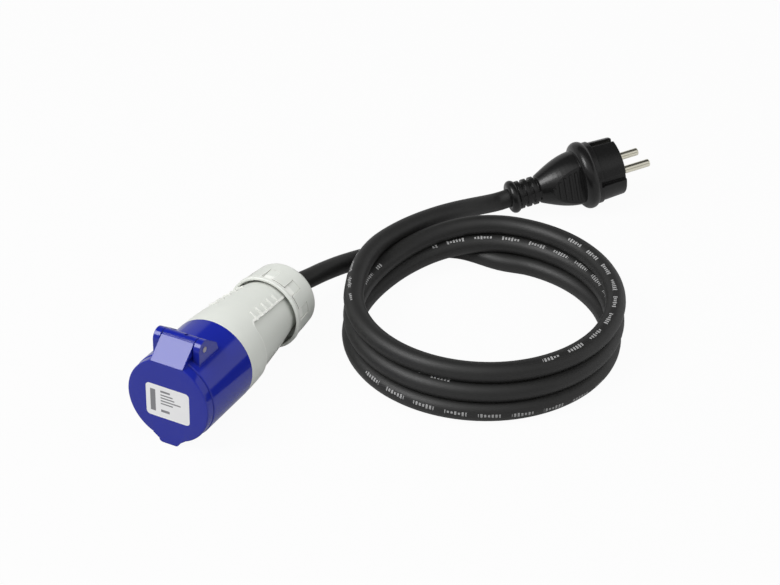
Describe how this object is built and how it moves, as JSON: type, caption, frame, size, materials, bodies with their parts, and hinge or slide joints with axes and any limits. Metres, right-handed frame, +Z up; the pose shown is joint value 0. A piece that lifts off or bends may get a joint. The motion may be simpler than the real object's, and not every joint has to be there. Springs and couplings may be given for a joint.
{
  "type": "power adapter cable",
  "caption": "Adapter lead: blue industrial socket connector with a sprung lid and grey cable gland, a coil of black rubber cable and a black household plug.",
  "frame": {"origin": "on the floor under the middle of the connector, as it lies", "axes": "+Y from the lid back along the connector towards the cable gland, +X across it towards the coil, +Z up"},
  "size_m": [0.2127, 0.3633, 0.0615],
  "materials": {
    "blue_plastic": "moulded blue plastic, glossy",
    "grey_plastic": "moulded pale grey plastic, satin",
    "black_rubber": "black rubber, matt with a soft sheen",
    "black_plastic": "moulded black plastic, satin",
    "white_film": "plain white film, satin",
    "steel": "plain bright steel",
    "brass": "turned brass",
    "nickel": "nickel-plated, soft shine",
    "core_brown": "brown core insulation",
    "core_blue": "light blue core insulation",
    "core_green": "green core insulation with a yellow stripe"
  },
  "bodies": {
    "connector": {"socket_shell": "blue_plastic", "hinge_pin": "steel", "lid_spring": "steel", "contact_carrier": "blue_plastic", "contact_line": "brass", "contact_neutral": "brass", "contact_earth": "brass", "terminal_screws": "steel", "carrier_screws": "steel", "rear_housing": "grey_plastic", "gland_seal": "black_rubber", "core_line": "core_brown", "core_neutral": "core_blue", "core_earth": "core_green", "cable_lead_connector": "black_rubber", "cable_coil": "black_rubber", "cable_lead_plug": "black_rubber", "plug_body": "black_rubber", "plug_insert": "black_plastic", "pin_line": "nickel", "pin_neutral": "nickel", "earth_clip": "nickel"},
    "lid_body": {"lid": "blue_plastic", "lid_gasket": "black_rubber", "lid_label": "white_film"},
    "clamp": {"clamp_ring": "black_plastic"},
    "nut": {"gland_nut": "grey_plastic"}
  },
  "joints": [
    {"name": "lid_hinge", "type": "hinge", "parent": "connector", "child": "lid_body", "pos_m": [0, -0.04618, 0.0562], "axis": [-1, 0, 0], "range_deg": [0, 115], "stiffness_Nm_per_rad": 0.03, "springref_deg": -45.84},
    {"name": "clamp_slide", "type": "slide", "parent": "connector", "child": "clamp", "axis": [0, 0.9985, -0.0543], "range_m": [0, 0.003]},
    {"name": "nut_turn", "type": "hinge", "parent": "clamp", "child": "nut", "pos_m": [0, 0.0501, 0.02192], "axis": [0, 0.9985, -0.0543], "range_deg": [0, 360]}
  ],
  "couplings": [
    {"joint": "clamp_slide", "follows": "nut_turn", "m_per_rad": 0.00047746}
  ]
}
